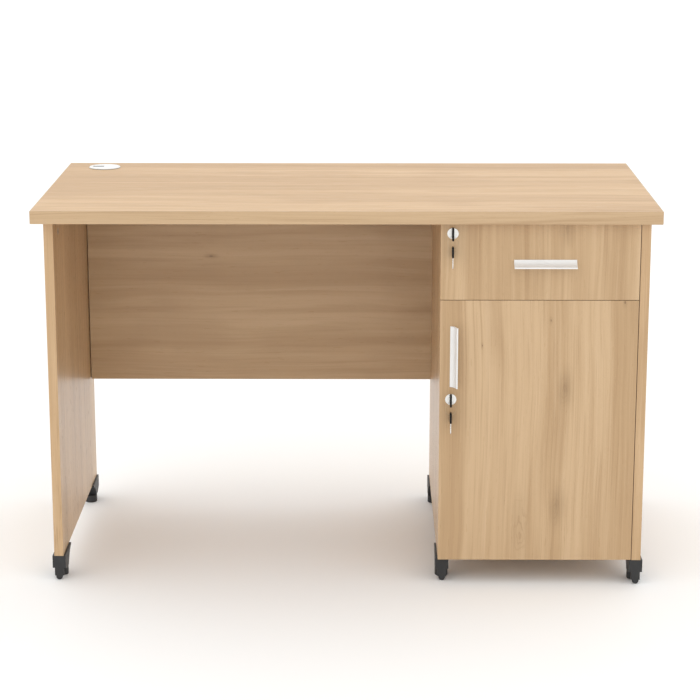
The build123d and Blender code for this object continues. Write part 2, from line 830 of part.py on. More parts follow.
pieces = {
    "worktop": worktop,
    "worktop_edge_banding": worktop_edge_banding,
    "left_end_panel": left_end_panel,
    "right_end_panel": right_end_panel,
    "pedestal_divider": pedestal_divider,
    "modesty_panel": modesty_panel,
    "pedestal_bottom": pedestal_bottom,
    "pedestal_mid_panel": pedestal_mid_panel,
    "pedestal_back": pedestal_back,
    "cupboard_shelf": cupboard_shelf,
    "shelf_pins": shelf_pins,
    "shoe_screws": shoe_screws,
    "grommet_ring": grommet_ring,
    "grommet_cap": grommet_cap,
    "slide_balls": slide_balls,
    "drawer_front": drawer_front,
    "drawer_side_left": drawer_side_left,
    "drawer_side_right": drawer_side_right,
    "drawer_back": drawer_back,
    "drawer_bottom": drawer_bottom,
    "drawer_handle": drawer_handle,
    "drawer_handle_screws": drawer_handle_screws,
    "door": door,
    "door_handle": door_handle,
    "door_handle_screws": door_handle_screws,
    "lock_strike": lock_strike,
    "hinge_cups": hinge_cups,
    "hinge_pins": hinge_pins,
    "hinge_arms": hinge_arms,
    "cam_fittings": cam_fittings,
}
pieces.update(shoes)
pieces.update(glides)
pieces.update(slides)
pieces.update(locks)

for name, piece in pieces.items():
    piece.part.label = name
    export_step(piece.part, f"parts/{name}.step")
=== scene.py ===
import json
import math

import bmesh
import bpy
from mathutils import Matrix, Vector


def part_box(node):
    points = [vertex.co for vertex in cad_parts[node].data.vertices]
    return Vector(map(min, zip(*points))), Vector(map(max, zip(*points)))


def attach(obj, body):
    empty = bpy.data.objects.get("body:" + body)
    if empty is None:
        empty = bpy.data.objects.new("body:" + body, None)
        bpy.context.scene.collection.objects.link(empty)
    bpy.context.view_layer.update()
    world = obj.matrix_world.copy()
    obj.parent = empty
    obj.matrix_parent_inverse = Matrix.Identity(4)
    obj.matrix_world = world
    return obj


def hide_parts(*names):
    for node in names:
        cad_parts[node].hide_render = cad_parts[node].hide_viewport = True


# Looks of the teacher desk: laminate boards, metal and plastic fittings, and the small hardware.
# Metres; X runs to the user's right, Y to the back and Z up.

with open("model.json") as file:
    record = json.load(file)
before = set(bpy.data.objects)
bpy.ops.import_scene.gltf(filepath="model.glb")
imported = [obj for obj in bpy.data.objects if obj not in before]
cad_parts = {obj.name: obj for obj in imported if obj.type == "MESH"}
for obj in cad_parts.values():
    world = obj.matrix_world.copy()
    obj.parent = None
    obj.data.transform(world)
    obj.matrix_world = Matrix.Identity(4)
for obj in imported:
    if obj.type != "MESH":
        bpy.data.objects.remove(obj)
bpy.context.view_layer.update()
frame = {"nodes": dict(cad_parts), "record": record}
nodes = frame["nodes"]
bodies = frame["record"]["behaviour"]["bodies"]
node_body = {node: body for body, members in bodies.items() for node in members}

scene = bpy.context.scene
scene.view_settings.view_transform = "Standard"

# ---------------------------------------------------------------- camera

CAMERA_PLACE = (0.03, -4.3, 1.4582)
CAMERA_TILT = 13.73  # degrees down from level
CAMERA_TURN = 0.33  # degrees to the left
CAMERA_LENS = 110.4

camera_data = bpy.data.cameras.new("camera")
camera_data.lens = CAMERA_LENS
camera_data.sensor_width = 36.0
camera_data.clip_end = 100.0
camera = bpy.data.objects.new("camera", camera_data)
camera.location = CAMERA_PLACE
camera.rotation_euler = (math.radians(90 - CAMERA_TILT), 0.0, math.radians(CAMERA_TURN))
scene.collection.objects.link(camera)
scene.camera = camera

# ---------------------------------------------------------------- shader helpers


class Nodes:
    """One material's node tree. A value is another node's socket, a number or a tuple."""

    def __init__(self, name):
        self.material = bpy.data.materials.new(name)
        self.material.use_nodes = True
        self.tree = self.material.node_tree
        self.shader = self.tree.nodes["Principled BSDF"]

    def put(self, socket, value):
        """Link a socket to this input, or set its value."""
        if isinstance(value, bpy.types.NodeSocket):
            self.tree.links.new(value, socket)
        else:
            socket.default_value = value

    def add(self, kind, inputs, **settings):
        """New node with its settings and inputs."""
        node = self.tree.nodes.new(kind)
        for key, value in settings.items():
            setattr(node, key, value)
        for key, value in inputs.items():
            self.put(node.inputs[key], value)
        return node

    def math(self, operation, a, b=0.0):
        return self.add("ShaderNodeMath", {0: a, 1: b}, operation=operation).outputs[0]

    def plus(self, a, b):
        return self.math("ADD", a, b)

    def minus(self, a, b):
        return self.math("SUBTRACT", a, b)

    def times(self, a, b):
        return self.math("MULTIPLY", a, b)

    def over(self, a, b):
        return self.math("DIVIDE", a, b)

    def mix(self, share, a, b, blend="MIX"):
        """Colour a with a share of colour b over it."""
        # The node's colour sockets are inputs 6 and 7 and output 2
        node = self.add("ShaderNodeMix", {0: share, 6: a, 7: b}, data_type="RGBA", blend_type=blend)
        return node.outputs[2]

    def choose(self, share, a, b):
        """Vector a where share is 0 and vector b where it is 1."""
        # The node's vector sockets are inputs 4 and 5 and output 1
        node = self.add("ShaderNodeMix", {0: share, 4: a, 5: b}, data_type="VECTOR")
        return node.outputs[1]

    def scaled(self, vector, factors):
        """Vector times factors, axis by axis."""
        node = self.add("ShaderNodeVectorMath", {0: vector, 1: factors}, operation="MULTIPLY")
        return node.outputs[0]

    def shifted(self, vector, offset):
        node = self.add("ShaderNodeVectorMath", {0: vector, 1: offset}, operation="ADD")
        return node.outputs[0]

    def noise(self, vector, factors, detail=2.0, roughness=0.5):
        """Noise whose cells are 1/factors metres long in each direction."""
        inputs = {
            "Vector": self.scaled(vector, factors),
            "Scale": 1.0,
            "Detail": detail,
            "Roughness": roughness,
        }
        return self.add("ShaderNodeTexNoise", inputs).outputs[0]

    def between(self, value, low, high, to_low=0.0, to_high=1.0):
        """Smooth step of value from low..high to to_low..to_high."""
        inputs = {"Value": value, "From Min": low, "From Max": high, "To Min": to_low, "To Max": to_high}
        node = self.add("ShaderNodeMapRange", inputs, interpolation_type="SMOOTHSTEP")
        return node.outputs[0]

    def object_place(self):
        """Place on the desk at rest, in metres."""
        return self.add("ShaderNodeTexCoord", {}).outputs["Object"]

    def object_normal(self):
        """Direction that the surface faces at rest."""
        return self.add("ShaderNodeTexCoord", {}).outputs["Normal"]

    def split(self, vector):
        return self.add("ShaderNodeSeparateXYZ", {0: vector}).outputs

    def join(self, x, y, z):
        return self.add("ShaderNodeCombineXYZ", {0: x, 1: y, 2: z}).outputs[0]

    def bump(self, height, depth):
        """Relief of the surface, with its depth in metres."""
        inputs = {"Height": height, "Distance": depth, "Strength": 1.0}
        self.put(self.shader.inputs["Normal"], self.add("ShaderNodeBump", inputs).outputs[0])

    def finish(self, **values):
        """Set the shader's own sockets, with underscores for the spaces in their names."""
        for key, value in values.items():
            self.put(self.shader.inputs[key.replace("_", " ")], value)
        return self.material


# ---------------------------------------------------------------- wood-effect laminate

PALE_BEECH = (0.665, 0.470, 0.285, 1)
LIGHT_BEECH = (0.625, 0.432, 0.250, 1)
MID_BEECH = (0.520, 0.340, 0.182, 1)
DARK_BEECH = (0.400, 0.242, 0.118, 1)
SMOKE_BROWN = (0.340, 0.215, 0.108, 1)
KNOT_BROWN = (0.150, 0.078, 0.036, 1)

GRAIN_SWAY = 0.035  # how far the grain wanders sideways, in metres
ARCH_WANDER = 1.1  # raggedness of the arches, in units of their oval
ARCH_RINGS = 22.0  # radians of dark and light rings for each unit of their oval
KNOT_STRETCH = 2.6  # length of a knot along the grain over its width
RELIEF_DEPTH = 0.00006
LAMINATE_INDEX = 1.47

# Which of X, Y and Z runs along the grain, across it and through the board
GRAIN_ORDER = {
    "along_x_flat": (0, 1, 2),
    "along_x_upright": (0, 2, 1),
    "up_facing_front": (2, 0, 1),
    "up_facing_side": (2, 1, 0),
}


def grain_place(paint, grain, offset):
    """Place on a board as (along its grain, across it, through it), moved to its own part of the log."""
    axes = paint.split(paint.object_place())
    if grain != "round_the_edge":
        order = GRAIN_ORDER[grain]
        return paint.shifted(paint.join(*[axes[i] for i in order]), offset)
    # The edging's grain follows each side of the worktop
    facing = paint.split(paint.object_normal())
    sideways = paint.math("GREATER_THAN", paint.math("ABSOLUTE", facing[0]), 0.5)
    lengths = paint.join(axes[0], axes[2], axes[1])
    depths = paint.join(axes[1], axes[2], axes[0])
    return paint.shifted(paint.choose(sideways, lengths, depths), offset)


def oval_distance(paint, place, middle, half_length, half_width):
    """Distance from a point of the board, in units of an oval drawn out along the grain."""
    moved = paint.shifted(place, (-middle[0], -middle[1], 0.0))
    flat = paint.scaled(moved, (1 / half_length, 1 / half_width, 0.0))
    return paint.add("ShaderNodeVectorMath", {0: flat}, operation="LENGTH").outputs["Value"]


def add_arch(paint, colour, place, middle, half_length, half_width):
    """Ragged nested arches over the colour, in a smoky patch."""
    distance = oval_distance(paint, place, middle, half_length, half_width)
    wander = paint.minus(paint.noise(place, (26.0, 60.0, 60.0)), 0.5)
    ragged = paint.plus(distance, paint.times(wander, ARCH_WANDER))
    ridges = paint.between(paint.math("SINE", paint.times(ragged, ARCH_RINGS)), 0.2, 1.0)
    fade = paint.between(distance, 0.15, 1.0, 0.40, 0.0)
    colour = paint.mix(paint.times(ridges, fade), colour, DARK_BEECH)
    return paint.mix(paint.between(distance, 0.1, 1.3, 0.22, 0.0), colour, SMOKE_BROWN)


def add_knot(paint, colour, place, streaks, middle, radius, heart_share):
    """Knot over the colour: a streaky smoky halo and a dark heart."""
    distance = oval_distance(paint, place, middle, KNOT_STRETCH * radius, radius)
    halo = paint.between(distance, 0.4, 4.0, 1.0, 0.0)
    smoke = paint.times(halo, paint.between(streaks, 0.25, 0.7, 0.12, 0.62))
    colour = paint.mix(smoke, colour, SMOKE_BROWN)
    heart = paint.between(distance, 0.35, 1.0, heart_share, 0.0)
    return paint.mix(heart, colour, KNOT_BROWN)


def laminate(name, grain, offset, tint, coarse, crisp, knots, arches, rough):
    """Matt beech laminate: broad bands, ribbons, streaks, fine lines, pores, knots and nested arches.

    A coarse board has its figure that many times wider, and crisp scales the contrast of its fine lines.
    Knots are (along, across, radius, heart share), and arches are (along, across, half length,
    half width), all in metres on the board.
    """
    paint = Nodes(name)
    place = grain_place(paint, grain, offset)
    along, across, through = paint.split(place)[:3]
    sway = paint.minus(paint.noise(place, (2.0, 4.0, 4.0)), 0.5)
    across = paint.plus(across, paint.times(sway, GRAIN_SWAY))
    swayed = paint.join(along, paint.over(across, coarse), paint.over(through, coarse))

    def figure(cells_along, cells_across, detail, roughness=0.5):
        """Noise drawn out along the grain, with so many cells a metre along it and across it."""
        return paint.noise(swayed, (cells_along, cells_across, cells_across), detail, roughness)

    bands = paint.between(figure(0.6, 17.0, 3.0, 0.6), 0.36, 0.64)
    patches = figure(3.2, 14.0, 2.0)
    ribbons = figure(1.4, 75.0, 3.0, 0.6)
    dashes = figure(4.5, 185.0, 3.0, 0.6)
    streaks = figure(4.0, 360.0, 4.0, 0.62)
    line_zone = paint.between(figure(1.8, 16.0, 1.0), 0.42, 0.58)
    lines = paint.times(paint.between(figure(3.5, 430.0, 1.0), 0.59, 0.68), line_zone)
    pores = paint.between(figure(110.0, 2300.0, 2.0), 0.60, 0.72)

    # Each layer is the share of a darker or paler beech that goes over those before it
    layers = [
        (paint.between(ribbons, 0.48, 0.72, 0.0, 0.45), DARK_BEECH),
        (paint.between(ribbons, 0.28, 0.48, 0.60, 0.0), PALE_BEECH),
        (paint.between(patches, 0.54, 0.80, 0.0, 0.45), DARK_BEECH),
        (paint.between(dashes, 0.54, 0.74, 0.0, 0.40 * crisp), DARK_BEECH),
        (paint.between(streaks, 0.50, 0.76, 0.0, 0.48 * crisp), DARK_BEECH),
        (paint.between(streaks, 0.22, 0.46, 0.44 * crisp, 0.0), PALE_BEECH),
        (paint.times(lines, 0.50 * crisp), DARK_BEECH),
        (paint.times(pores, 0.18), DARK_BEECH),
    ]
    colour = paint.mix(bands, LIGHT_BEECH, MID_BEECH)
    for share, beech in layers:
        colour = paint.mix(share, colour, beech)
    for along_at, across_at, half_length, half_width in arches:
        middle = (along_at + offset[0], across_at + offset[1])
        colour = add_arch(paint, colour, place, middle, half_length, half_width)
    for along_at, across_at, radius, heart_share in knots:
        middle = (along_at + offset[0], across_at + offset[1])
        colour = add_knot(paint, colour, place, streaks, middle, radius, heart_share)
    colour = paint.mix(1.0, colour, tint + (1,), blend="MULTIPLY")

    paint.bump(paint.minus(paint.times(streaks, 0.5), pores), RELIEF_DEPTH)
    gloss = paint.between(paint.noise(place, (30.0, 260.0, 260.0), 3.0), 0.2, 0.8, *rough)
    return paint.finish(Base_Color=colour, Roughness=gloss, IOR=LAMINATE_INDEX)


# ---------------------------------------------------------------- other finishes

METAL_LINE_DEPTH = 0.00002
MOULDED_GRAIN_DEPTH = 0.00005
WHITE_PLASTIC = (0.86, 0.86, 0.85, 1)
YELLOWED_PLASTIC = (0.78, 0.78, 0.76, 1)
# Colour of the painted shade on the grommet flange's low upright edge
PAINTED_RIM_SHADE = (0.070, 0.062, 0.055, 1)
RIM_SHADE_HEIGHTS = (0.0009, 0.0019)  # above the worktop: full painted shade, no painted shade
PALE_FOIL = (0.70, 0.68, 0.64, 1)
GREY_FOIL = (0.60, 0.575, 0.53, 1)


def metal(name, colour, rough, lines_per_metre, tarnish, metallic=1.0):
    """Plated or anodised metal with fine lines and slight cloudiness."""
    paint = Nodes(name)
    place = paint.object_place()
    lines = paint.noise(place, lines_per_metre, 3.0, 0.6)
    clouds = paint.noise(place, (45.0, 45.0, 45.0), 3.0)
    dull = tuple(c * (1 - tarnish) for c in colour[:3]) + (1,)
    shade = paint.mix(paint.between(clouds, 0.35, 0.75), colour, dull)
    shade = paint.mix(paint.between(lines, 0.45, 0.75, 0.0, 0.22), shade, dull)
    paint.bump(lines, METAL_LINE_DEPTH)
    return paint.finish(
        Base_Color=shade,
        Metallic=metallic,
        Roughness=paint.between(lines, 0.25, 0.75, rough * 0.8, rough * 1.25),
    )


def moulding(name, colour, scuff, rough, grit, specular):
    """Injection-moulded plastic with spark-eroded grain and faint scuffs."""
    paint = Nodes(name)
    place = paint.object_place()
    grain = paint.noise(place, (grit, grit, grit), 2.0)
    cloud = paint.noise(place, (60.0, 60.0, 60.0), 4.0, 0.6)
    shade = paint.mix(paint.between(cloud, 0.45, 0.80, 0.0, 0.5), colour, scuff)
    paint.bump(grain, MOULDED_GRAIN_DEPTH)
    gloss = paint.between(cloud, 0.3, 0.7, rough, rough + 0.12)
    return paint.finish(Base_Color=shade, Roughness=gloss, Specular_IOR_Level=specular)


def grommet_plastic(name):
    """White moulding with painted shade on the low upright edge of its flange."""
    paint = Nodes(name)
    place = paint.object_place()
    cloud = paint.noise(place, (60.0, 60.0, 60.0), 4.0, 0.6)
    shade = paint.mix(paint.between(cloud, 0.45, 0.80, 0.0, 0.4), WHITE_PLASTIC, YELLOWED_PLASTIC)
    worktop_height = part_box("worktop")[1].z
    height = paint.minus(paint.split(place)[2], worktop_height)
    facing = paint.split(paint.object_normal())
    # Painted shade: upright faces just above the worktop are darkened in place of the shadow under the
    # flange
    upright = paint.between(paint.math("ABSOLUTE", facing[2]), 0.3, 0.8, 1.0, 0.0)
    low = paint.between(height, *RIM_SHADE_HEIGHTS, 1.0, 0.0)
    patchy = paint.between(cloud, 0.3, 0.7, 0.8, 0.95)
    painted_rim_shade = paint.times(paint.times(upright, low), patchy)
    shade = paint.mix(painted_rim_shade, shade, PAINTED_RIM_SHADE)
    paint.bump(paint.noise(place, (2500.0, 2500.0, 2500.0)), MOULDED_GRAIN_DEPTH)
    return paint.finish(Base_Color=shade, Roughness=paint.between(cloud, 0.3, 0.7, 0.28, 0.40))


def foil_board(name):
    """Pale foil-wrapped drawer board with a faint linen emboss."""
    paint = Nodes(name)
    place = paint.object_place()
    weave = paint.noise(place, (900.0, 900.0, 900.0), 1.0)
    grain = paint.noise(place, (260.0, 9.0, 260.0), 3.0, 0.6)
    shade = paint.mix(paint.between(grain, 0.40, 0.75), PALE_FOIL, GREY_FOIL)
    paint.bump(weave, MOULDED_GRAIN_DEPTH)
    return paint.finish(Base_Color=shade, Roughness=paint.between(grain, 0.3, 0.7, 0.42, 0.5))


# ---------------------------------------------------------------- boards

FRONT_TINT = (0.930, 0.935, 0.935)
SIDE_TINT = (0.965, 0.955, 0.94)
TOP_TINT = (1.04, 1.0, 0.925)
SHADED_TINT = (0.890, 0.905, 0.92)
EDGING_TINT = (0.885, 0.89, 0.895)

# How the grain runs, a place in the log in metres, and a tint
BOARDS = {
    "worktop": ("along_x_flat", (3.1, 0.4, 7.0), TOP_TINT),
    "worktop_edge_banding": ("round_the_edge", (5.3, 1.7, 2.0), EDGING_TINT),
    "left_end_panel": ("up_facing_side", (1.3, 6.2, 0.7), SIDE_TINT),
    "right_end_panel": ("up_facing_side", (8.4, 2.9, 4.1), SIDE_TINT),
    "pedestal_divider": ("up_facing_side", (2.2, 9.5, 3.3), SIDE_TINT),
    "modesty_panel": ("along_x_upright", (6.6, 5.1, 1.9), SHADED_TINT),
    "pedestal_bottom": ("along_x_flat", (4.2, 3.8, 5.6), SIDE_TINT),
    "pedestal_mid_panel": ("along_x_flat", (9.1, 7.4, 0.2), SIDE_TINT),
    "pedestal_back": ("up_facing_front", (7.7, 1.1, 6.3), SIDE_TINT),
    "cupboard_shelf": ("along_x_flat", (0.6, 8.8, 8.2), SIDE_TINT),
    "drawer_front": ("up_facing_front", (5.9, 4.6, 9.2), FRONT_TINT),
    "door": ("up_facing_front", (1.9, 2.4, 5.5), FRONT_TINT),
}
COARSE_BOARDS = {"worktop": 2.6, "modesty_panel": 1.9}
CRISP_BOARDS = {
    "worktop": 0.75,
    "worktop_edge_banding": 0.7,
    "modesty_panel": 0.45,
    "drawer_front": 0.8,
    "door": 0.8,
}
SATIN_GLOSS = (0.26, 0.38)  # least and most roughness
MATT_GLOSS = (0.40, 0.52)

# Shares of the board along and across its grain, a radius in metres and how dark the heart is
KNOT_SPOTS = {
    "door": [
        (0.993, 0.93, 0.0016, 0.8),
        (0.925, 0.56, 0.0013, 0.7),
        (0.83, 0.215, 0.0011, 0.7),
        (0.67, 0.64, 0.0060, 0.15),
        (0.22, 0.61, 0.0060, 0.12),
    ],
    "drawer_front": [(0.93, 0.63, 0.0050, 0.1)],
    "modesty_panel": [(0.36, 0.62, 0.0022, 0.5)],
}
# Shares of the board along and across its grain, half length and half width in metres
ARCH_SPOTS = {
    "door": [(0.13, 0.42, 0.085, 0.022), (0.19, 0.60, 0.045, 0.012), (0.66, 0.635, 0.040, 0.013)],
    "right_end_panel": [(0.35, 0.40, 0.120, 0.030)],
    "left_end_panel": [(0.55, 0.62, 0.110, 0.028)],
    "pedestal_back": [(0.60, 0.45, 0.100, 0.026)],
}


def on_board(node, grain, spots):
    """Spots given as shares of the board, turned into metres along and across it."""
    if not spots:
        return []
    low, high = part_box(node)
    along, across = GRAIN_ORDER[grain][:2]
    placed = []
    for share_along, share_across, *rest in spots:
        place_along = low[along] + share_along * (high[along] - low[along])
        place_across = low[across] + share_across * (high[across] - low[across])
        placed.append((place_along, place_across, *rest))
    return placed


def cover(node, material):
    """Give a CAD node this material only."""
    nodes[node].data.materials.clear()
    nodes[node].data.materials.append(material)


for node, (grain, offset, tint) in BOARDS.items():
    material = laminate(
        node,
        grain,
        offset,
        tint,
        coarse=COARSE_BOARDS.get(node, 1.0),
        crisp=CRISP_BOARDS.get(node, 1.0),
        knots=on_board(node, grain, KNOT_SPOTS.get(node, [])),
        arches=on_board(node, grain, ARCH_SPOTS.get(node, [])),
        rough=MATT_GLOSS if node == "worktop" else SATIN_GLOSS,
    )
    cover(node, material)

# ---------------------------------------------------------------- fittings

FINISHES = {
    "drawer_board": foil_board("foil_board"),
    "satin_aluminium": metal(
        "satin_aluminium",
        (0.80, 0.80, 0.79, 1),
        rough=0.46,
        lines_per_metre=(700.0, 700.0, 700.0),
        tarnish=0.03,
        metallic=0.2,
    ),
    "nickel_plated_steel": metal(
        "nickel_plate",
        (0.78, 0.775, 0.75, 1),
        rough=0.24,
        lines_per_metre=(600.0, 600.0, 600.0),
        tarnish=0.08,
    ),
    "zinc_plated_steel": metal(
        "zinc_plate",
        (0.62, 0.635, 0.65, 1),
        rough=0.36,
        lines_per_metre=(500.0, 60.0, 500.0),
        tarnish=0.18,
    ),
    "spring_wire": metal(
        "spring_wire",
        (0.52, 0.41, 0.27, 1),
        rough=0.34,
        lines_per_metre=(500.0, 500.0, 500.0),
        tarnish=0.2,
    ),
    "bearing_steel": metal(
        "polished_steel",
        (0.78, 0.78, 0.78, 1),
        rough=0.14,
        lines_per_metre=(400.0, 400.0, 400.0),
        tarnish=0.05,
    ),
    "black_moulding": moulding(
        "black_moulding",
        (0.026, 0.026, 0.027, 1),
        (0.048, 0.048, 0.048, 1),
        rough=0.42,
        grit=3000.0,
        specular=0.4,
    ),
    "black_key_plastic": moulding(
        "key_plastic",
        (0.004, 0.004, 0.005, 1),
        (0.012, 0.012, 0.012, 1),
        rough=0.40,
        grit=2500.0,
        specular=0.2,
    ),
    "white_plastic": grommet_plastic("white_plastic"),
}
SLOTS = {subpart["node"]: subpart["material_slot"] for subpart in frame["record"]["subparts"]}
for node, slot_name in SLOTS.items():
    if slot_name in FINISHES:
        cover(node, FINISHES[slot_name])

# ---------------------------------------------------------------- small pieces

CORNER_STEPS = 8
WELD = 0.000002  # points closer than this are one


def new_piece(name, mesh, like, slot_name):
    """A finished piece that rides with the CAD node it belongs to."""
    for polygon in mesh.polygons:
        polygon.use_smooth = True
    piece = bpy.data.objects.new(name, mesh)
    scene.collection.objects.link(piece)
    mesh.materials.append(FINISHES[slot_name])
    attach(piece, node_body[like])
    return piece


def keep_flat_faces(piece):
    """Let only the small faces along the edges look rounded."""
    shading = piece.modifiers.new("flat_faces", "WEIGHTED_NORMAL")
    shading.keep_sharp = True


def rounded_outline(middle, width, height, corner):
    """Points round a rectangle with round corners."""
    points = []
    for turn, (side_x, side_y) in enumerate([(1, 1), (-1, 1), (-1, -1), (1, -1)]):
        centre_x = middle[0] + side_x * (width / 2 - corner)
        centre_y = middle[1] + side_y * (height / 2 - corner)
        for step in range(CORNER_STEPS + 1):
            angle = (turn + step / CORNER_STEPS) * math.pi / 2
            points.append((centre_x + corner * math.cos(angle), centre_y + corner * math.sin(angle)))
    return points


def plate_mesh(name, outlines, thickness, edge_radius, middle_x):
    """Flat plate in the YZ plane with soft edges; the first outline is its rim, the others are holes."""
    curve = bpy.data.curves.new(name, "CURVE")
    curve.dimensions = "2D"
    curve.fill_mode = "BOTH"
    curve.extrude = thickness / 2 - edge_radius
    curve.bevel_depth = edge_radius
    curve.bevel_resolution = 2
    curve.offset = -edge_radius
    for outline in outlines:
        spline = curve.splines.new("POLY")
        spline.points.add(len(outline) - 1)
        for point, (y, z) in zip(spline.points, outline):
            point.co = (y, z, 0.0, 1.0)
        spline.use_cyclic_u = True
    shape = bpy.data.objects.new(name, curve)
    mesh = bpy.data.meshes.new_from_object(shape)
    mesh.name = name
    bpy.data.objects.remove(shape)
    # The curve's x, y and z become the desk's Y, Z and X
    mesh.transform(Matrix(((0, 0, 1, middle_x), (1, 0, 0, 0), (0, 1, 0, 0), (0, 0, 0, 1))))
    work = bmesh.new()
    work.from_mesh(mesh)
    bmesh.ops.remove_doubles(work, verts=work.verts, dist=WELD)
    bmesh.ops.recalc_face_normals(work, faces=work.faces)
    work.to_mesh(mesh)
    work.free()
    return mesh


def joined(name, meshes):
    """One mesh from several."""
    work = bmesh.new()
    for mesh in meshes:
        work.from_mesh(mesh)
    whole = bpy.data.meshes.new(name)
    work.to_mesh(whole)
    work.free()
    return whole


def mesh_from_loops(name, loops):
    """Closed mesh through loops with the same number of points, which it joins in order."""
    work = bmesh.new()
    rows = []
    for loop in loops:
        rows.append([work.verts.new(point) for point in loop])
    for first, second in zip(rows, rows[1:]):
        for index in range(len(first)):
            after = (index + 1) % len(first)
            work.faces.new((first[index], first[after], second[after], second[index]))
    work.faces.new(rows[0])
    work.faces.new(rows[-1])
    bmesh.ops.recalc_face_normals(work, faces=work.faces)
    mesh = bpy.data.meshes.new(name)
    work.to_mesh(mesh)
    work.free()
    return mesh


# ---------------------------------------------------------------- keys

# Bow: a raised rim round its outline, a collar round its hole, and a thinner panel between them
BOW_RIM = 0.0013
BOW_COLLAR = 0.0010
BOW_SINK = 0.0004
BOW_EDGE = 0.0005
BOW_CORNER = 0.0045
HOLE_FLAT = 0.00001  # half the straight bit left between a hole's round corners
KEY_HOLE = (0.0040, 0.0178)  # its size along Y and Z
KEY_HOLE_BACK = 0.0088  # from the bow's front edge to the middle of its hole
SPARE_BOW_HEIGHT = 0.0204
SPARE_HOLE = (0.0048, 0.0048)  # its size along Y and Z
SPARE_HOLE_DROP = 0.0010  # from the wire of the ring to the middle of the hole

BLADE_THICK = 0.0020
BLADE_WIDTH = 0.0070
BLADE_CORNER = 0.0003
BLADE_FLAT = 0.7  # share of the thickness that its narrow edges keep flat
BLADE_IN_BOW = 0.0015
BLADE_SHANK = 0.0030
GROOVE_DEPTH = 0.0005
GROOVE_MOUTH = (-0.0011, 0.0009)
GROOVE_FLOOR = (-0.0007, 0.0005)
CUT_START = 0.0040
CUT_DEPTHS = (0.0, 0.0014, 0.0006, 0.0019, 0.0010, 0.0016, 0.0)
CUT_FLAT = 0.55  # share of the pitch that each cut keeps its depth
TIP_LENGTH = 0.0025
TIP_BEVEL = 0.0010
TIP_CUTS = (0.0012, 0.0022)
TIP_BACK = 0.0012

RING_WIRE = 0.0003  # radius of the wire
RING_TURNS = 1.92
RING_START = 0.25  # turns from +X: the top
RING_STEPS = 96
RING_CROSSING = 12  # how steeply the wire steps over from one turn to the other

RIGHT = Vector((1, 0, 0))
FORWARD = Vector((0, -1, 0))
BACKWARD = Vector((0, 1, 0))
UP = Vector((0, 0, 1))
DOWN = Vector((0, 0, -1))


def bow_mesh(name, middle, size, hole_middle, hole_size, thickness, middle_x):
    """Moulded bow of a key; its outline and its hole are given as seen from the side."""

    def plate(outer, inner, plate_thickness, edge):
        return plate_mesh(name, [outer, inner], plate_thickness, edge, middle_x)

    def outline(inset):
        return rounded_outline(middle, size[0] - 2 * inset, size[1] - 2 * inset, BOW_CORNER - inset)

    def hole(margin):
        corner = hole_size[0] / 2 - HOLE_FLAT + margin
        return rounded_outline(hole_middle, hole_size[0] + 2 * margin, hole_size[1] + 2 * margin, corner)

    parts = [
        plate(outline(0.0), outline(BOW_RIM), thickness, BOW_EDGE),
        plate(hole(BOW_COLLAR), hole(0.0), thickness - BOW_SINK, BOW_EDGE / 2),
        plate(outline(BOW_RIM / 2), hole(BOW_COLLAR / 2), thickness - 2 * BOW_SINK, BOW_EDGE / 4),
    ]
    return joined(name, parts)


def blade_section(back, edge):
    """Outline across a blade as (across its thickness, towards its cuts), with a groove in each face."""
    side = BLADE_THICK / 2
    right = [
        (side * BLADE_FLAT, back),
        (side, back + BLADE_CORNER),
        (side, GROOVE_MOUTH[0]),
        (side - GROOVE_DEPTH, GROOVE_FLOOR[0]),
        (side - GROOVE_DEPTH, GROOVE_FLOOR[1]),
        (side, GROOVE_MOUTH[1]),
        (side, edge - BLADE_CORNER),
        (side * BLADE_FLAT, edge),
    ]
    left = [(-across, towards) for across, towards in reversed(right)]
    return right + left


def blade_mesh(name, root, direction, cut_side, length):
    """Steel blade with a groove in each face and cuts along one edge; root is its middle at the bow."""
    pitch = (length - CUT_START - TIP_LENGTH) / len(CUT_DEPTHS)
    stations = [(-BLADE_IN_BOW, 0.0), (BLADE_SHANK, 0.0)]
    for index, depth in enumerate(CUT_DEPTHS):
        start = CUT_START + index * pitch
        stations.append((start, depth))
        stations.append((start + CUT_FLAT * pitch, depth))
    stations.append((length - TIP_BEVEL, TIP_CUTS[0]))
    stations.append((length, TIP_CUTS[1]))
    loops = []
    for along, cut in stations:
        tip_back = TIP_BACK if along == length else 0.0
        section = blade_section(tip_back - BLADE_WIDTH / 2, BLADE_WIDTH / 2 - cut)
        middle = Vector(root) + direction * along
        loops.append([middle + RIGHT * across + cut_side * towards for across, towards in section])
    return mesh_from_loops(name, loops)


def ring_mesh(name, low, high):
    """Split ring of two close turns, as wide as the box from low to high."""
    wire = bpy.data.curves.new(name, "CURVE")
    wire.dimensions = "3D"
    wire.bevel_depth = RING_WIRE
    wire.bevel_resolution = 3
    middle = (low + high) / 2
    radius = (high.x - low.x) / 2 - 2 * RING_WIRE
    spline = wire.splines.new("POLY")
    spline.points.add(RING_STEPS)
    for index, point in enumerate(spline.points):
        share = index / RING_STEPS
        angle = (RING_START + RING_TURNS * share) * 2 * math.pi
        step_over = RING_WIRE * math.tanh((share - 0.5) * RING_CROSSING)
        x = middle.x + radius * math.cos(angle)
        z = middle.z + radius * math.sin(angle)
        point.co = (x, middle.y + step_over, z, 1.0)
    coil = bpy.data.objects.new(name, wire)
    mesh = bpy.data.meshes.new_from_object(coil)
    bpy.data.objects.remove(coil)
    return mesh


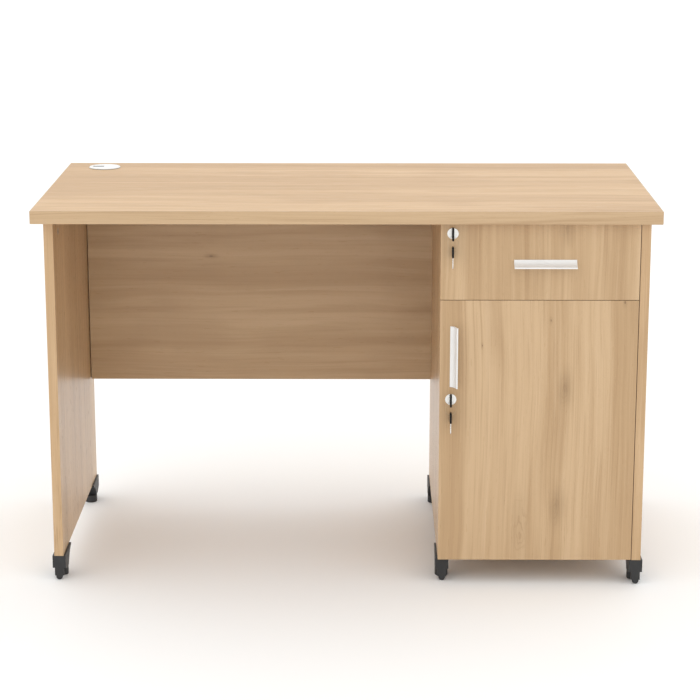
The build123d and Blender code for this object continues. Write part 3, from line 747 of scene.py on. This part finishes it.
for lock in ("drawer", "door"):
    # Key in the lock
    low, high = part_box(f"{lock}_key")
    middle = (low + high) / 2
    flange_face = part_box(f"{lock}_lock_body")[0].y
    mesh = bow_mesh(
        f"{lock}_key_bow",
        ((low.y + flange_face) / 2, middle.z),
        (flange_face - low.y, high.z - low.z),
        (low.y + KEY_HOLE_BACK, middle.z),
        KEY_HOLE,
        high.x - low.x,
        middle.x,
    )
    bow = new_piece(f"{lock}_key_bow", mesh, f"{lock}_key", "black_key_plastic")
    keep_flat_faces(bow)
    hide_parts(f"{lock}_key")
    root = (middle.x, flange_face, middle.z)
    mesh = blade_mesh(f"{lock}_key_blade", root, BACKWARD, UP, high.y - flange_face)
    blade = new_piece(f"{lock}_key_blade", mesh, f"{lock}_key", "nickel_plated_steel")
    keep_flat_faces(blade)

    # Spare key on the ring
    low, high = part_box(f"{lock}_spare_key")
    middle = (low + high) / 2
    ring_low, ring_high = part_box(f"{lock}_key_ring")
    bow_foot = high.z - SPARE_BOW_HEIGHT
    wire_height = ring_low.z + 2 * RING_WIRE
    mesh = bow_mesh(
        f"{lock}_spare_bow",
        (middle.y, bow_foot + SPARE_BOW_HEIGHT / 2),
        (high.y - low.y, SPARE_BOW_HEIGHT),
        (middle.y, wire_height - SPARE_HOLE_DROP),
        SPARE_HOLE,
        high.x - low.x,
        middle.x,
    )
    bow = new_piece(f"{lock}_spare_bow", mesh, f"{lock}_spare_key", "black_key_plastic")
    keep_flat_faces(bow)
    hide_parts(f"{lock}_spare_key")
    root = (middle.x, middle.y, bow_foot)
    mesh = blade_mesh(f"{lock}_spare_blade", root, DOWN, FORWARD, bow_foot - low.z)
    blade = new_piece(f"{lock}_spare_blade", mesh, f"{lock}_spare_key", "nickel_plated_steel")
    keep_flat_faces(blade)

    mesh = ring_mesh(f"{lock}_split_ring", ring_low, ring_high)
    ring = new_piece(f"{lock}_split_ring", mesh, f"{lock}_key_ring", "spring_wire")
    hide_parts(f"{lock}_key_ring")

# ---------------------------------------------------------------- screw heads

HEAD_RADIUS = 0.0034
HINGE_HEAD_HEIGHT = 0.0014
STRIKE_HEAD_HEIGHT = 0.0010
HEAD_SIDES = 28
DOME_STEPS = 6
DOME_BULGE = 0.6  # below 1 the dome stands out more at its rim
RIM_SHARE = 0.25  # share of the head's height that its rim stands
CROSS_LENGTH = 1.1  # the recess, as shares of the head's radius
CROSS_WIDTH = 0.22
CROSS_RISE = 0.95  # middle of the cutting bars, as a share of the head's height
SHARP_ANGLE = math.radians(35)

PLATE_HALF_HEIGHT = 0.026  # from a mounting plate's end to the middle of its hinge
PLATE_THICKNESS = 0.002
PLATE_SCREW_BACK = 0.023  # from the arms' rear end
PLATE_SCREW_RISE = 0.0175
ARM_STAND = 0.004  # from the panel to the outer face of the arms
ARM_SCREW_BACKS = (0.008, 0.030)
CUP_SCREW_RISE = 0.0218
STRIKE_SCREW_INSET = 0.007  # from the strike's right-hand end


def head_circle(radius, height):
    """Points round the axis of a screw head."""
    angles = [2 * math.pi * side / HEAD_SIDES for side in range(HEAD_SIDES)]
    return [Vector((radius * math.cos(angle), radius * math.sin(angle), height)) for angle in angles]


def bar_cutter(radius, height, length, width):
    """Bar that cuts one slot of the cross recess."""
    bar = bmesh.new()
    bmesh.ops.create_cube(bar, size=1.0)
    bmesh.ops.scale(bar, verts=bar.verts, vec=(radius * length, radius * width, height))
    bmesh.ops.translate(bar, verts=bar.verts, vec=(0, 0, height * CROSS_RISE))
    mesh = bpy.data.meshes.new("cross_cutter")
    bar.to_mesh(mesh)
    bar.free()
    cutter = bpy.data.objects.new("cross_cutter", mesh)
    scene.collection.objects.link(cutter)
    return cutter


def pan_head(radius, height):
    """Domed screw head with a cross recess, standing on the origin and pointing up."""
    loops = [head_circle(radius, 0.0)]
    for step in range(DOME_STEPS):
        lean = step / DOME_STEPS * math.pi / 2
        dome_radius = radius * math.cos(lean) ** DOME_BULGE
        dome_height = height * (RIM_SHARE + (1 - RIM_SHARE) * math.sin(lean))
        loops.append(head_circle(dome_radius, dome_height))
    head = bpy.data.objects.new("pan_head", mesh_from_loops("pan_head", loops))
    scene.collection.objects.link(head)
    cutters = [
        bar_cutter(radius, height, CROSS_LENGTH, CROSS_WIDTH),
        bar_cutter(radius, height, CROSS_WIDTH, CROSS_LENGTH),
    ]
    for cutter in cutters:
        cut = head.modifiers.new("cross", "BOOLEAN")
        cut.object = cutter
        cut.operation = "DIFFERENCE"
    bpy.context.view_layer.update()
    depsgraph = bpy.context.evaluated_depsgraph_get()
    finished = bpy.data.meshes.new_from_object(head.evaluated_get(depsgraph), depsgraph=depsgraph)
    for helper in (head, *cutters):
        bpy.data.objects.remove(helper)
    return finished


def screws(name, head, places, out, like, slot_name):
    """A group of the same screw head at several places, pointing out of their surface."""
    turn = Vector(out).to_track_quat("Z", "Y").to_matrix().to_4x4()
    heads = []
    for place in places:
        copy = head.copy()
        copy.transform(Matrix.Translation(place) @ turn)
        heads.append(copy)
    group = new_piece(name, joined(name, heads), like, slot_name)
    shading = group.modifiers.new("sharp_corners", "EDGE_SPLIT")
    shading.split_angle = SHARP_ANGLE


hinge_head = pan_head(HEAD_RADIUS, HINGE_HEAD_HEIGHT)
arms_low, arms_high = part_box("hinge_arms")
cups_low, cups_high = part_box("hinge_cups")
plate_face = arms_high.x - PLATE_THICKNESS
arm_face = arms_high.x - ARM_STAND
cup_middle = (cups_low.x + cups_high.x) / 2
plate_places = []
arm_places = []
cup_places = []
for height in (arms_low.z + PLATE_HALF_HEIGHT, arms_high.z - PLATE_HALF_HEIGHT):
    for side in (-1, 1):
        plate_y = arms_high.y - PLATE_SCREW_BACK
        plate_places.append((plate_face, plate_y, height + side * PLATE_SCREW_RISE))
        cup_places.append((cup_middle, cups_high.y, height + side * CUP_SCREW_RISE))
    for back in ARM_SCREW_BACKS:
        arm_places.append((arm_face, arms_high.y - back, height))
screws("hinge_plate_screws", hinge_head, plate_places, (-1, 0, 0), "hinge_arms", "nickel_plated_steel")
screws("hinge_arm_screws", hinge_head, arm_places, (-1, 0, 0), "hinge_arms", "zinc_plated_steel")
screws("hinge_cup_screws", hinge_head, cup_places, (0, 1, 0), "hinge_cups", "nickel_plated_steel")

strike_head = pan_head(HEAD_RADIUS, STRIKE_HEAD_HEIGHT)
strike_low, strike_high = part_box("lock_strike")
strike_middle = (strike_low.y + strike_high.y) / 2
strike_place = (strike_high.x - STRIKE_SCREW_INSET, strike_middle, strike_low.z)
screws("lock_strike_screw", strike_head, [strike_place], (0, 0, -1), "lock_strike", "zinc_plated_steel")

# ---------------------------------------------------------------- floor and light

FLOOR_HALF = 40.0
FLOOR_COLOUR = (0.975, 0.972, 0.966, 1)
SKY_COLOUR = (1.0, 0.998, 0.992, 1)
SKY_STRENGTH = 1.18
LIGHT_PLACE = Vector((0.0, -3.6, 2.2))
LIGHT_AIM = Vector((0.0, 0.0, 0.4))
LIGHT_SIZE = 2.5
LIGHT_POWER = 4.0

floor_mesh = bpy.data.meshes.new("floor")
floor_corners = [
    (-FLOOR_HALF, -FLOOR_HALF, 0),
    (FLOOR_HALF, -FLOOR_HALF, 0),
    (FLOOR_HALF, FLOOR_HALF, 0),
    (-FLOOR_HALF, FLOOR_HALF, 0),
]
floor_mesh.from_pydata(floor_corners, [], [(0, 1, 2, 3)])
floor = bpy.data.objects.new("floor", floor_mesh)
scene.collection.objects.link(floor)
floor_nodes = Nodes("floor_paint")
floor_paint = floor_nodes.finish(Base_Color=FLOOR_COLOUR, Roughness=0.75, Specular_IOR_Level=0.2)
floor_mesh.materials.append(floor_paint)

world = bpy.data.worlds.new("studio")
scene.world = world
world.use_nodes = True
sky = world.node_tree.nodes["Background"]
sky.inputs["Color"].default_value = SKY_COLOUR
sky.inputs["Strength"].default_value = SKY_STRENGTH

light_data = bpy.data.lights.new("front_light", "AREA")
light_data.size = LIGHT_SIZE
light_data.energy = LIGHT_POWER
light = bpy.data.objects.new("front_light", light_data)
light.location = LIGHT_PLACE
light.rotation_euler = (LIGHT_PLACE - LIGHT_AIM).to_track_quat("Z", "Y").to_euler()
scene.collection.objects.link(light)
